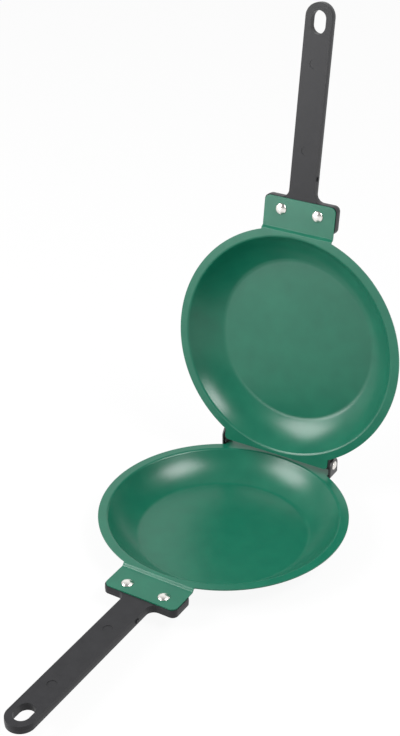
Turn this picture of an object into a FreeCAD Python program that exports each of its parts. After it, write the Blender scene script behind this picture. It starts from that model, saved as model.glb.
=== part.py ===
import FreeCAD, Part
import Sketcher
import math
import os
from FreeCAD import Vector, Placement, Rotation

# Double sided flip pan: two pressed sheet pans hinged rim to rim, each with a moulded handle.
# Origin: centre of the lower pan's flat underside. +Z up, +Y towards the hinge, handle along -Y.
# Every pan, handle and fastener is drawn in the lower pan's own place; the upper ones are
# turned over onto the lower rim and then opened about the hinge pins.

doc = FreeCAD.newDocument("flip_pan")
sizes = doc.addObject("Spreadsheet::Sheet", "sizes")

VALUES = {
    # pressed pan, sizes of the face that holds the food
    "rim_radius": 95.0,
    "flange_width": 7.0,
    "wall_run": 22.7,
    "wall_turn": 38.0,
    "pan_depth": 19.4,
    "sheet_gauge": 1.0,
    "mouth_bend": 1.6,
    "floor_bend": 9.0,
    "ring_overlap": 1.0,
    # straight hinge edge of the flange, with two corners
    "hinge_trim": 3.4,
    "hinge_corner_rise": 8.4,
    "hinge_half_width": 46.0,
    "hinge_corner_round": 3.0,
    # handle tab, set down from the flange by a small joggle
    "tab_half_width": 29.6,
    "tab_length": 23.7,
    "tab_corner_round": 4.5,
    "joggle_inset": 3.5,
    "joggle_run": 2.2,
    "joggle_drop": 2.0,
    "joggle_root": 1.6,
    # moulded handle under the tab
    "handle_thick": 6.0,
    "head_margin": 0.7,
    "head_gap": 2.3,
    "head_corner_round": 4.5,
    "neck_round": 6.0,
    "bar_half_width": 10.75,
    "bar_length": 145.5,
    "handle_edge_round": 1.0,
    "hang_hole_setback": 14.2,
    "hang_hole_radius": 6.0,
    "hang_hole_half_length": 8.5,
    "hang_hole_edge_round": 0.6,
    "gate_distance": 17.4,
    "gate_half_length": 1.6,
    "gate_stand": 0.7,
    "gate_thick": 2.4,
    "gate_sink": 0.5,
    "near_mark_distance": 37.4,
    "far_mark_distance": 101.4,
    "ejector_mark_radius": 3.5,
    "ejector_mark_depth": 0.25,
    # handle rivets
    "rivet_offset": 15.3,
    "rivet_setback": 9.1,
    "rivet_shank_radius": 2.0,
    "rivet_head_radius": 4.4,
    "rivet_head_height": 2.0,
    "rivet_head_edge": 0.4,
    "rivet_tail_radius": 3.2,
    "rivet_tail_height": 1.2,
    "rivet_hole_clearance": 0.05,
    "backing_washer_radius": 5.5,
    "backing_washer_thick": 0.8,
    # hinge
    "open_angle": 98.2,
    "closed_gap": 0.6,
    "pivot_inset": 2.4,
    "pivot_rise": 7.5,
    "bracket_gauge": 1.2,
    "bracket_bend": 0.5,
    "bracket_width": 17.0,
    "bracket_length": 11.6,
    "bracket_wall_clearance": 2.0,
    "ear_side_clearance": 0.3,
    "lug_radius": 6.0,
    "stop_clearance": 0.2,
    "heel_half_width": 6.0,
    "heel_round": 1.0,
    "ear_front_height": 3.0,
    "plate_end_margin": 0.3,
    "bracket_corner_round": 2.0,
    "ear_washer_thick": 0.4,
    "ear_washer_play": 0.05,
    "ear_washer_radius": 4.6,
    "pin_radius": 2.0,
    "pin_running_clearance": 0.06,
    "pin_head_radius": 3.5,
    "pin_head_height": 1.5,
    "pin_head_edge": 0.3,
    "pin_tail_radius": 3.0,
    "pin_tail_height": 0.9,
    "pin_tail_play": 0.1,
}
# Places that follow from the values above, so that each change moves what it carries. The
# hinge edge stands far enough outside the round rim for the lower ears to pass beside it.
FOLLOWING = {
    "mouth_radius": "rim_radius - flange_width",
    "floor_radius": "mouth_radius - wall_run",
    "hinge_corner_reach": "sqrt(rim_radius^2 - hinge_half_width^2)",
    "hinge_reach": "max(rim_radius - hinge_trim; hinge_corner_reach + hinge_corner_rise)",
    "pivot_reach": "hinge_reach - pivot_inset",
    "bracket_front_reach": "hinge_reach - bracket_length",
    "bracket_inner_reach": "hinge_half_width - bracket_width",
    "joggle_reach": "rim_radius - joggle_inset",
    "joggle_end": "joggle_reach + joggle_run",
    "tab_reach": "joggle_end + tab_length",
    "rivet_reach": "tab_reach - rivet_setback",
    "head_inner_reach": "joggle_end + head_gap",
    "head_reach": "tab_reach + head_margin",
    "head_half_width": "tab_half_width + head_margin",
    "handle_reach": "head_reach + bar_length",
    "hang_hole_reach": "handle_reach - hang_hole_setback",
    "gate_reach": "head_reach + gate_distance",
    "near_mark_reach": "head_reach + near_mark_distance",
    "far_mark_reach": "head_reach + far_mark_distance",
}
cells = [(alias, str(value)) for alias, value in VALUES.items()]
cells += [(alias, "=" + formula) for alias, formula in FOLLOWING.items()]
for row, (alias, content) in enumerate(cells, start=1):
    sizes.set("A%d" % row, alias)
    sizes.set("B%d" % row, content)
    sizes.setAlias("B%d" % row, alias)
doc.recompute()

HALF_TURN = 180.0
FULL_TURN = 360.0
TOUCH = 1e-4

# Heights and places that several pieces share, as formulas of the sheet's values.
RIM_TOP = "(sizes.pan_depth + sizes.sheet_gauge)"
RIM_UNDER = "sizes.pan_depth"
TAB_TOP = "(sizes.pan_depth + sizes.sheet_gauge - sizes.joggle_drop)"
TAB_UNDER = "(sizes.pan_depth - sizes.joggle_drop)"
HANDLE_UNDER = "(sizes.pan_depth - sizes.joggle_drop - sizes.handle_thick)"
HANDLE_MIDDLE = "(sizes.pan_depth - sizes.joggle_drop - sizes.handle_thick / 2)"
# The wall is dished: seen from the side it is an arc that steepens by the wall's turn.
ARC_REACH = "(1 / (2 * tan(sizes.wall_turn * 1deg / 2)))"
ARC_RADIUS = "(sqrt(sizes.wall_run^2 + sizes.pan_depth^2) / (2 * sin(sizes.wall_turn * 1deg / 2)))"
ARC_CENTRE_OUT = "(sizes.floor_radius + sizes.wall_run / 2 - sizes.pan_depth * %s)" % ARC_REACH
ARC_CENTRE_UP = "(sizes.sheet_gauge + sizes.pan_depth / 2 + sizes.wall_run * %s)" % ARC_REACH
FLOOR_BEND_UP = "(sizes.sheet_gauge + sizes.floor_bend)"
FLOOR_BEND_AWAY = "(%s - sizes.floor_bend)" % ARC_RADIUS
FLOOR_BEND_OUT = "(%s + sqrt(%s^2 - (%s - %s)^2))" % (ARC_CENTRE_OUT, FLOOR_BEND_AWAY, ARC_CENTRE_UP, FLOOR_BEND_UP)
MOUTH_BEND_UP = "(sizes.pan_depth - sizes.mouth_bend)"
MOUTH_BEND_AWAY = "(%s + sizes.sheet_gauge + sizes.mouth_bend)" % ARC_RADIUS
MOUTH_BEND_OUT = "(%s + sqrt(%s^2 - (%s - %s)^2))" % (ARC_CENTRE_OUT, MOUTH_BEND_AWAY, ARC_CENTRE_UP, MOUTH_BEND_UP)
RING_EDGE = "(%s + sizes.ring_overlap)" % MOUTH_BEND_OUT
UPPER_EAR_INNER = "(sizes.hinge_half_width + sizes.ear_side_clearance)"
UPPER_EAR_OUTER = "(%s + sizes.bracket_gauge)" % UPPER_EAR_INNER
LOWER_EAR_INNER = "(%s + sizes.ear_washer_play + sizes.ear_washer_thick)" % UPPER_EAR_OUTER
LOWER_EAR_OUTER = "(%s + sizes.bracket_gauge)" % LOWER_EAR_INNER
PLATE_UNDER = "(sizes.pan_depth - sizes.bracket_gauge)"
LOWER_PIVOT_HEIGHT = "(%s + sizes.pivot_rise)" % RIM_TOP
UPPER_PIVOT_HEIGHT = "(%s + sizes.closed_gap - sizes.pivot_rise)" % RIM_TOP


def number(expression):
    """The present value of a formula of the sheet's values."""
    found = sizes.evalExpression(expression)
    return float(getattr(found, "Value", found))


def plane_of(body, role):
    for feature in body.Origin.OriginFeatures:
        if feature.Role == role:
            return feature
    raise RuntimeError("no plane " + role)


def new_body(label):
    body = doc.addObject("PartDesign::Body", label)
    body.Label = label
    return body


def new_sketch(body, name, role, offset=None):
    """A sketch on one of the body's own planes, moved along its normal by a formula."""
    sketch = body.newObject("Sketcher::SketchObject", body.Name + "_" + name)
    sketch.AttachmentSupport = (plane_of(body, role), [""])
    sketch.MapMode = "FlatFace"
    if offset:
        sketch.setExpression("AttachmentOffset.Base.z", offset)
    return sketch


def hold(sketch, kind, *parts):
    """Adds a dimension whose last part is a formula, and ties it to the sheet."""
    expression = parts[-1]
    index = sketch.addConstraint(Sketcher.Constraint(kind, *parts[:-1], number(expression)))
    sketch.setExpression("Constraints[%d]" % index, expression)


def draw_outline(sketch, corners, arcs=None):
    """Draws a closed outline. A corner is (x formula, y formula, held axes); arcs maps the
    index of a side's first corner to its centre's formulas and its turn, 1 for anticlockwise."""
    arcs = arcs or {}
    points = [Vector(number(x), number(y), 0) for x, y, held in corners]
    sides = []
    for i, start in enumerate(points):
        end = points[(i + 1) % len(points)]
        if i not in arcs:
            sides.append((sketch.addGeometry(Part.LineSegment(start, end)), 1, 2))
            continue
        centre_x, centre_y, turn = arcs[i]
        centre = Vector(number(centre_x), number(centre_y), 0)
        first, last = (start, end) if turn > 0 else (end, start)
        angles = [math.atan2(p.y - centre.y, p.x - centre.x) for p in (first, last)]
        circle = Part.Circle(centre, Vector(0, 0, 1), (start - centre).Length)
        side = sketch.addGeometry(Part.ArcOfCircle(circle, angles[0], angles[1]))
        hold(sketch, "DistanceX", -1, 1, side, 3, centre_x)
        hold(sketch, "DistanceY", -1, 1, side, 3, centre_y)
        sides.append((side, 1, 2) if turn > 0 else (side, 2, 1))
    for i, (side, begin, finish) in enumerate(sides):
        following = sides[(i + 1) % len(sides)]
        sketch.addConstraint(Sketcher.Constraint("Coincident", side, finish, following[0], following[1]))
    for (x, y, held), (side, begin, finish) in zip(corners, sides):
        if "x" in held:
            hold(sketch, "DistanceX", -1, 1, side, begin, x)
        if "y" in held:
            hold(sketch, "DistanceY", -1, 1, side, begin, y)


def draw_circle(sketch, x, y, radius):
    centre = Vector(number(x), number(y), 0)
    circle = sketch.addGeometry(Part.Circle(centre, Vector(0, 0, 1), number(radius)))
    hold(sketch, "DistanceX", -1, 1, circle, 3, x)
    hold(sketch, "DistanceY", -1, 1, circle, 3, y)
    hold(sketch, "Radius", circle, radius)


def pad(body, sketch, name, length, downwards=False, both_ways=False):
    feature = body.newObject("PartDesign::Pad", body.Name + "_" + name)
    feature.Profile = sketch
    feature.Reversed = downwards
    feature.Midplane = both_ways
    feature.setExpression("Length", length)
    doc.recompute()
    return feature


def cut_through(body, sketch, name):
    """A pocket through all of the body, both ways, that has to take metal away."""
    before = body.Shape.Volume
    feature = body.newObject("PartDesign::Pocket", body.Name + "_" + name)
    feature.Profile = sketch
    feature.Type = "ThroughAll"
    feature.Midplane = True
    doc.recompute()
    if body.Shape.Volume >= before:
        raise RuntimeError(feature.Name + " cuts nothing")
    return feature


def cut_down(body, sketch, name, depth):
    before = body.Shape.Volume
    feature = body.newObject("PartDesign::Pocket", body.Name + "_" + name)
    feature.Profile = sketch
    feature.setExpression("Length", depth)
    doc.recompute()
    if body.Shape.Volume >= before:
        raise RuntimeError(feature.Name + " cuts nothing")
    return feature


def revolve(body, sketch, name):
    feature = body.newObject("PartDesign::Revolution", body.Name + "_" + name)
    feature.Profile = sketch
    feature.ReferenceAxis = (sketch, ["V_Axis"])
    feature.Angle = FULL_TURN
    doc.recompute()
    return feature


def round_edges(body, name, radius, wanted):
    """A fillet on the edges of the body's tip that a test picks."""
    base = body.Tip
    edges = base.Shape.Edges
    picked = ["Edge%d" % (i + 1) for i, edge in enumerate(edges) if wanted(edge)]
    if not picked:
        raise RuntimeError(body.Name + " has no edge for " + name)
    feature = body.newObject("PartDesign::Fillet", body.Name + "_" + name)
    feature.Base = (base, picked)
    feature.setExpression("Radius", radius)
    doc.recompute()
    return feature


def is_upright_at(edge, places):
    """Tells whether an edge runs along Z at one of these places in plan."""
    ends = [vertex.Point for vertex in edge.Vertexes]
    if len(ends) != 2 or math.hypot(ends[0].x - ends[1].x, ends[0].y - ends[1].y) > TOUCH:
        return False
    return any(math.hypot(ends[0].x - x, ends[0].y - y) < TOUCH for x, y in places)


def lies_at_height(edge, height):
    return all(abs(vertex.Point.z - height) < TOUCH for vertex in edge.Vertexes)


def on_wall(bend_out, bend_up, bend_away, below):
    """The corner where a bend runs into the wall's arc, on the food side or below it."""
    share = "(%s + %s) / %s" % (ARC_RADIUS, below, bend_away)
    return ("%s + (%s - %s) * %s" % (ARC_CENTRE_OUT, bend_out, ARC_CENTRE_OUT, share),
            "%s + (%s - %s) * %s" % (ARC_CENTRE_UP, bend_up, ARC_CENTRE_UP, share), "y")


def make_pan(label):
    """One pressed pan: ring flange with a straight hinge side, dished wall and floor, handle tab."""
    body = new_body(label)
    blank = new_sketch(body, "blank", "XY_Plane", RIM_TOP)
    corners = [
        ("sizes.hinge_half_width", "sizes.hinge_reach", "xy"),
        ("-sizes.hinge_half_width", "sizes.hinge_reach", "xy"),
        ("-sizes.hinge_half_width", "sizes.hinge_corner_reach", "x"),
        ("-sizes.tab_half_width", "-sqrt(sizes.rim_radius^2 - sizes.tab_half_width^2)", "x"),
        ("-sizes.tab_half_width", "-sizes.joggle_reach", "xy"),
        ("sizes.tab_half_width", "-sizes.joggle_reach", "xy"),
        ("sizes.tab_half_width", "-sqrt(sizes.rim_radius^2 - sizes.tab_half_width^2)", "x"),
        ("sizes.hinge_half_width", "sizes.hinge_corner_reach", "xy"),
    ]
    draw_outline(blank, corners, {2: ("0", "0", 1), 6: ("0", "0", 1)})
    blank.addConstraint(Sketcher.Constraint("Equal", 2, 6))
    pad(body, blank, "flange", "sizes.sheet_gauge", downwards=True)

    mouth = new_sketch(body, "mouth", "XY_Plane")
    draw_circle(mouth, "0", "0", "%s + sizes.ring_overlap / 2" % MOUTH_BEND_OUT)
    cut_through(body, mouth, "mouth_hole")

    dish = new_sketch(body, "dish", "XZ_Plane")
    draw_outline(dish, [
        ("0", "0", "xy"),
        (FLOOR_BEND_OUT, "0", "xy"),
        on_wall(FLOOR_BEND_OUT, FLOOR_BEND_UP, FLOOR_BEND_AWAY, "sizes.sheet_gauge"),
        on_wall(MOUTH_BEND_OUT, MOUTH_BEND_UP, MOUTH_BEND_AWAY, "sizes.sheet_gauge"),
        (MOUTH_BEND_OUT, RIM_UNDER, "x"),
        (RING_EDGE, RIM_UNDER, "xy"),
        (RING_EDGE, RIM_TOP, "xy"),
        (MOUTH_BEND_OUT, RIM_TOP, "xy"),
        on_wall(MOUTH_BEND_OUT, MOUTH_BEND_UP, MOUTH_BEND_AWAY, "0"),
        on_wall(FLOOR_BEND_OUT, FLOOR_BEND_UP, FLOOR_BEND_AWAY, "0"),
        (FLOOR_BEND_OUT, "sizes.sheet_gauge", "x"),
        ("0", "sizes.sheet_gauge", "xy"),
    ], {
        1: (FLOOR_BEND_OUT, FLOOR_BEND_UP, 1), 2: (ARC_CENTRE_OUT, ARC_CENTRE_UP, 1),
        3: (MOUTH_BEND_OUT, MOUTH_BEND_UP, -1), 7: (MOUTH_BEND_OUT, MOUTH_BEND_UP, 1),
        8: (ARC_CENTRE_OUT, ARC_CENTRE_UP, -1), 9: (FLOOR_BEND_OUT, FLOOR_BEND_UP, -1)})
    revolve(body, dish, "wall")

    strip = new_sketch(body, "tab_side", "YZ_Plane")
    draw_outline(strip, [
        ("-(sizes.joggle_reach - sizes.joggle_root)", RIM_TOP, "xy"),
        ("-sizes.joggle_reach", RIM_TOP, "xy"),
        ("-sizes.joggle_end", TAB_TOP, "xy"),
        ("-sizes.tab_reach", TAB_TOP, "xy"),
        ("-sizes.tab_reach", TAB_UNDER, "xy"),
        ("-sizes.joggle_end", TAB_UNDER, "xy"),
        ("-sizes.joggle_reach", RIM_UNDER, "xy"),
        ("-(sizes.joggle_reach - sizes.joggle_root)", RIM_UNDER, "xy"),
    ])
    pad(body, strip, "handle_tab", "2 * sizes.tab_half_width", both_ways=True)
    half_width = number("sizes.tab_half_width")
    reach = number("sizes.tab_reach")
    round_edges(body, "tab_corners", "sizes.tab_corner_round",
                lambda edge: is_upright_at(edge, [(half_width, -reach), (-half_width, -reach)]))
    hinge_half = number("sizes.hinge_half_width")
    hinge_reach = number("sizes.hinge_reach")
    round_edges(body, "hinge_side_corners", "sizes.hinge_corner_round",
                lambda edge: is_upright_at(edge, [(hinge_half, hinge_reach), (-hinge_half, hinge_reach)]))

    holes = new_sketch(body, "rivet_holes", "XY_Plane")
    for side in ("", "-"):
        draw_circle(holes, side + "sizes.rivet_offset", "-sizes.rivet_reach",
                    "sizes.rivet_shank_radius + sizes.rivet_hole_clearance")
    cut_through(body, holes, "rivet_hole")
    return body


def make_handle(label, gate_side):
    """A flat moulded handle: a head the shape of the tab, a bar with a round end and a hang hole."""
    body = new_body(label)
    outline = new_sketch(body, "outline", "XY_Plane", HANDLE_UNDER)
    tip_centre = "-(sizes.handle_reach - sizes.bar_half_width)"
    draw_outline(outline, [
        ("-sizes.head_half_width", "-sizes.head_inner_reach", "xy"),
        ("-sizes.head_half_width", "-sizes.head_reach", "xy"),
        ("-sizes.bar_half_width", "-sizes.head_reach", "xy"),
        ("-sizes.bar_half_width", tip_centre, "xy"),
        ("sizes.bar_half_width", tip_centre, "y"),
        ("sizes.bar_half_width", "-sizes.head_reach", "xy"),
        ("sizes.head_half_width", "-sizes.head_reach", "xy"),
        ("sizes.head_half_width", "-sizes.head_inner_reach", "xy"),
    ], {3: ("0", tip_centre, 1)})
    pad(body, outline, "plate", "sizes.handle_thick")
    head_half = number("sizes.head_half_width")
    head_reach = number("sizes.head_reach")
    head_inner = number("sizes.head_inner_reach")
    bar_half = number("sizes.bar_half_width")
    round_edges(body, "head_corners", "sizes.head_corner_round", lambda edge: is_upright_at(
        edge, [(x, -y) for x in (head_half, -head_half) for y in (head_reach, head_inner)]))
    round_edges(body, "neck", "sizes.neck_round", lambda edge: is_upright_at(
        edge, [(bar_half, -head_reach), (-bar_half, -head_reach)]))

    hang = new_sketch(body, "hang_hole", "XY_Plane")
    straight = "(sizes.hang_hole_half_length - sizes.hang_hole_radius)"
    near_end = "-sizes.hang_hole_reach + " + straight
    far_end = "-sizes.hang_hole_reach - " + straight
    draw_outline(hang, [
        ("sizes.hang_hole_radius", far_end, "xy"),
        ("sizes.hang_hole_radius", near_end, "xy"),
        ("-sizes.hang_hole_radius", near_end, "y"),
        ("-sizes.hang_hole_radius", far_end, "y"),
    ], {1: ("0", near_end, 1), 3: ("0", far_end, 1)})
    cut_through(body, hang, "hang_slot")

    low, high = number(HANDLE_UNDER), number(TAB_UNDER)
    hole_half = number("sizes.hang_hole_half_length")
    hole_reach = number("sizes.hang_hole_reach")

    def near_hole(edge):
        centre = edge.BoundBox.Center
        return abs(centre.y + hole_reach) <= hole_half and edge.BoundBox.XLength < 2 * bar_half - TOUCH \
            and abs(centre.x) < bar_half - TOUCH
    for height, face in ((low, "under"), (high, "top")):
        round_edges(body, "hole_edge_" + face, "sizes.hang_hole_edge_round",
                    lambda edge: lies_at_height(edge, height) and near_hole(edge))
        round_edges(body, "edge_" + face, "sizes.handle_edge_round",
                    lambda edge: lies_at_height(edge, height) and not near_hole(edge))

    marks = new_sketch(body, "marks", "XY_Plane", TAB_UNDER)
    for reach in ("sizes.near_mark_reach", "sizes.far_mark_reach"):
        draw_circle(marks, "0", "-" + reach, "sizes.ejector_mark_radius")
    cut_down(body, marks, "ejector_marks", "sizes.ejector_mark_depth")

    gate = new_sketch(body, "gate", "YZ_Plane", gate_side + "(sizes.bar_half_width - sizes.gate_sink)")
    gate_low = HANDLE_MIDDLE + " - sizes.gate_thick / 2"
    gate_high = HANDLE_MIDDLE + " + sizes.gate_thick / 2"
    draw_outline(gate, [
        ("-(sizes.gate_reach + sizes.gate_half_length)", gate_low, "xy"),
        ("-(sizes.gate_reach - sizes.gate_half_length)", gate_low, "xy"),
        ("-(sizes.gate_reach - sizes.gate_half_length)", gate_high, "xy"),
        ("-(sizes.gate_reach + sizes.gate_half_length)", gate_high, "xy"),
    ])
    pad(body, gate, "gate_nub", "sizes.gate_sink + sizes.gate_stand", downwards=gate_side == "-")

    holes = new_sketch(body, "rivet_holes", "XY_Plane")
    for side in ("", "-"):
        draw_circle(holes, side + "sizes.rivet_offset", "-sizes.rivet_reach",
                    "sizes.rivet_shank_radius + sizes.rivet_hole_clearance")
    cut_through(body, holes, "rivet_hole")
    return body


def make_rivet(label, shank, grip, head, tail, head_edge):
    """A rivet about Z: domed head above the origin, shank down through the grip, flat tail."""
    body = new_body(label)
    profile = new_sketch(body, "profile", "XZ_Plane")
    head_radius, head_height = head
    tail_radius, tail_height = tail
    dome_rise = "(%s - %s)" % (head_height, head_edge)
    dome_centre = "%s - (%s^2 + %s^2) / (2 * %s)" % (head_height, head_radius, dome_rise, dome_rise)
    draw_outline(profile, [
        ("0", "-(%s + %s)" % (grip, tail_height), "xy"),
        (tail_radius, "-(%s + %s)" % (grip, tail_height), "xy"),
        (tail_radius, "-(%s)" % grip, "xy"),
        (shank, "-(%s)" % grip, "xy"),
        (shank, "0", "xy"),
        (head_radius, "0", "xy"),
        (head_radius, head_edge, "xy"),
        ("0", head_height, "x"),
    ], {6: ("0", dome_centre, 1)})
    revolve(body, profile, "turned")
    return body


def make_washer(label, outer, hole, thickness):
    """A flat ring washer about Z, lying below the origin."""
    body = new_body(label)
    ring = new_sketch(body, "ring", "XY_Plane")
    draw_circle(ring, "0", "0", outer)
    draw_circle(ring, "0", "0", hole)
    pad(body, ring, "disc", thickness, downwards=True)
    return body


def draw_plate(body, side, outer, rear, shoulder=()):
    """The bracket's foot under the flange corner, kept clear of the dished wall. A shoulder
    (x formula, y formula) shortens the foot where its ear would meet the round rim."""
    plate = new_sketch(body, "plate", "XY_Plane", RIM_UNDER)
    wall = "(sizes.mouth_radius + sizes.bracket_wall_clearance)"
    inner = "sizes.bracket_inner_reach"
    wall_at_inner = "sqrt(%s^2 - %s^2)" % (wall, inner)
    wall_at_front = "sqrt(%s^2 - sizes.bracket_front_reach^2)" % wall
    sign = "-" if side < 0 else ""
    corners = [
        (sign + inner, wall_at_inner, "xy"),
        (sign + wall_at_front, "sizes.bracket_front_reach", "y"),
    ]
    ear_front = "sizes.bracket_front_reach"
    if shoulder:
        ear_front = shoulder[1]
        corners += [(sign + shoulder[0], "sizes.bracket_front_reach", "xy"), (sign + shoulder[0], ear_front, "xy")]
    corners += [
        (sign + outer, ear_front, "xy"),
        (sign + outer, rear, "xy"),
        (sign + inner, rear, "xy"),
    ]
    draw_outline(plate, corners, {0: ("0", "0", -side)})
    pad(body, plate, "foot", "sizes.bracket_gauge", downwards=True)


def round_bracket(body, side, outer, rear, upwards):
    """The press bend between foot and ear, and the foot's inner rear corner."""
    outer_x, inner_x = number(outer), number("%s - sizes.bracket_gauge" % outer)
    under, over = number(PLATE_UNDER), number(RIM_UNDER)
    outer_z, inner_z = (under, over) if upwards else (over, under)

    def along_fold(edge, x, z):
        ends = [vertex.Point for vertex in edge.Vertexes]
        return len(ends) == 2 and all(
            abs(p.x - side * x) < TOUCH and abs(p.z - z) < TOUCH for p in ends)
    round_edges(body, "bend_inside", "sizes.bracket_bend", lambda edge: along_fold(edge, inner_x, inner_z))
    round_edges(body, "bend_outside", "sizes.bracket_bend + sizes.bracket_gauge",
                lambda edge: along_fold(edge, outer_x, outer_z))
    corner = (side * number("sizes.bracket_inner_reach"), number(rear))
    round_edges(body, "foot_corner", "sizes.bracket_corner_round", lambda edge: is_upright_at(edge, [corner]))


def make_lower_bracket(label, side):
    """Foot under the lower flange, with an ear standing up outside the upper bracket's ear."""
    body = new_body(label)
    front = "(sizes.pivot_reach - sizes.lug_radius)"
    rear = "(sizes.pivot_reach + sizes.lug_radius)"
    shoulder = ("(%s - sizes.bracket_bend)" % LOWER_EAR_INNER, front)
    draw_plate(body, side, LOWER_EAR_OUTER, rear, shoulder)
    sign = "-" if side < 0 else ""
    ear = new_sketch(body, "ear", "YZ_Plane", sign + LOWER_EAR_INNER)
    draw_outline(ear, [
        (front, PLATE_UNDER, "xy"),
        (rear, PLATE_UNDER, "xy"),
        (rear, LOWER_PIVOT_HEIGHT, "xy"),
        (front, LOWER_PIVOT_HEIGHT, "y"),
    ], {2: ("sizes.pivot_reach", LOWER_PIVOT_HEIGHT, 1)})
    pad(body, ear, "ear_plate", "sizes.bracket_gauge", downwards=side < 0)
    round_bracket(body, side, LOWER_EAR_OUTER, rear, True)
    hole = new_sketch(body, "pin_hole", "YZ_Plane")
    draw_circle(hole, "sizes.pivot_reach", LOWER_PIVOT_HEIGHT, "sizes.pin_radius + sizes.rivet_hole_clearance")
    cut_through(body, hole, "pin_bore")
    return body


def make_upper_bracket(label, side):
    """Foot on the upper flange's back, with an ear whose heel lands on the lower foot when open."""
    body = new_body(label)
    rear = "(sizes.hinge_reach - sizes.plate_end_margin)"
    draw_plate(body, side, UPPER_EAR_OUTER, rear)
    sign = "-" if side < 0 else ""
    ear = new_sketch(body, "ear", "YZ_Plane", sign + UPPER_EAR_INNER)
    stop_reach = "(sizes.pivot_rise + sizes.sheet_gauge - sizes.stop_clearance)"
    # along_n leads from the pin to the stop face, along_t runs down the stop face
    along_n = ("sin(sizes.open_angle)", "cos(sizes.open_angle)")
    along_t = ("cos(sizes.open_angle)", "-sin(sizes.open_angle)")
    fold_end = "(%s - sizes.bracket_bend)" % PLATE_UNDER
    rise = "(%s - %s)" % (fold_end, UPPER_PIVOT_HEIGHT)

    def from_pin(along, across):
        y = "sizes.pivot_reach + %s * %s + %s * %s" % (along, along_n[0], across, along_t[0])
        z = "%s + %s * %s + %s * %s" % (UPPER_PIVOT_HEIGHT, along, along_n[1], across, along_t[1])
        return y, z, "xy"
    foot = from_pin(stop_reach, "0")
    draw_outline(ear, [
        ("sizes.bracket_front_reach", RIM_UNDER, "xy"),
        ("sizes.bracket_front_reach", "%s - sizes.ear_front_height" % RIM_UNDER, "xy"),
        from_pin("-sizes.lug_radius * sin(45)", "sizes.lug_radius * sin(45)"),
        from_pin("0", "sizes.heel_half_width"),
        from_pin(stop_reach, "sizes.heel_half_width"),
        foot,
        ("sizes.pivot_reach + sqrt(%s^2 - %s^2)" % (stop_reach, rise), fold_end, "y"),
        (rear, fold_end, "xy"),
        (rear, RIM_UNDER, "xy"),
    ], {5: ("sizes.pivot_reach", UPPER_PIVOT_HEIGHT, 1)})
    pad(body, ear, "ear_plate", "sizes.bracket_gauge", downwards=side < 0)
    round_bracket(body, side, UPPER_EAR_OUTER, rear, False)
    heel = [number(value) for value in from_pin(stop_reach, "sizes.heel_half_width")[:2]]
    round_edges(body, "heel", "sizes.heel_round", lambda edge: all(
        math.hypot(vertex.Point.y - heel[0], vertex.Point.z - heel[1]) < TOUCH for vertex in edge.Vertexes))
    hole = new_sketch(body, "pin_hole", "YZ_Plane")
    draw_circle(hole, "sizes.pivot_reach", UPPER_PIVOT_HEIGHT, "sizes.pin_radius + sizes.pin_running_clearance")
    cut_through(body, hole, "pin_bore")
    return body


def upper_place():
    """Turns a lower piece over onto the closed rim, then opens it about the hinge pins."""
    closed = Placement(Vector(0, 0, 2 * number(RIM_TOP) + number("sizes.closed_gap")),
                       Rotation(Vector(0, 1, 0), HALF_TURN))
    pin = Vector(0, number("sizes.pivot_reach"), number(LOWER_PIVOT_HEIGHT))
    opened = Placement(Vector(0, 0, 0), Rotation(Vector(1, 0, 0), -number("sizes.open_angle")), pin)
    return opened.multiply(closed)


LOWER = Placement()
UPPER = upper_place()
parts = []


def keep(body, place):
    body.Placement = place
    parts.append(body)


keep(make_pan("lower_pan"), LOWER)
keep(make_pan("upper_pan"), UPPER)
keep(make_handle("lower_handle", ""), LOWER)
keep(make_handle("upper_handle", "-"), UPPER)

GRIP = "(sizes.sheet_gauge + sizes.handle_thick + sizes.backing_washer_thick)"
for level, place in (("lower", LOWER), ("upper", UPPER)):
    for side_name, side in (("left", -1), ("right", 1)):
        # the upper pan is turned over, so its right side is the drawing's left side
        x = number("sizes.rivet_offset") * side * (1 if level == "lower" else -1)
        y = -number("sizes.rivet_reach")
        rivet = make_rivet(
            "%s_handle_rivet_%s" % (level, side_name), "sizes.rivet_shank_radius", GRIP,
            ("sizes.rivet_head_radius", "sizes.rivet_head_height"),
            ("sizes.rivet_tail_radius", "sizes.rivet_tail_height"), "sizes.rivet_head_edge")
        keep(rivet, place.multiply(Placement(Vector(x, y, number(TAB_TOP)), Rotation())))
        washer = make_washer(
            "%s_handle_washer_%s" % (level, side_name), "sizes.backing_washer_radius",
            "sizes.rivet_shank_radius + sizes.rivet_hole_clearance", "sizes.backing_washer_thick")
        keep(washer, place.multiply(Placement(Vector(x, y, number(HANDLE_UNDER)), Rotation())))

for side_name, side in (("left", -1), ("right", 1)):
    keep(make_lower_bracket("lower_hinge_bracket_" + side_name, side), LOWER)
    keep(make_upper_bracket("upper_hinge_bracket_" + side_name, -side), UPPER)
    outward = Rotation(Vector(0, 1, 0), side * HALF_TURN / 2)
    pin_grip = "(2 * sizes.bracket_gauge + sizes.ear_washer_thick + sizes.ear_washer_play + sizes.pin_tail_play)"
    pin = make_rivet(
        "hinge_pin_" + side_name, "sizes.pin_radius", pin_grip,
        ("sizes.pin_head_radius", "sizes.pin_head_height"),
        ("sizes.pin_tail_radius", "sizes.pin_tail_height"), "sizes.pin_head_edge")
    pivot_y = number("sizes.pivot_reach")
    pivot_z = number(LOWER_PIVOT_HEIGHT)
    keep(pin, Placement(Vector(side * number(LOWER_EAR_OUTER), pivot_y, pivot_z), outward))
    washer = make_washer(
        "hinge_washer_" + side_name, "sizes.ear_washer_radius",
        "sizes.pin_radius + sizes.rivet_hole_clearance", "sizes.ear_washer_thick")
    keep(washer, Placement(Vector(side * number(LOWER_EAR_INNER), pivot_y, pivot_z), outward))

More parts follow.
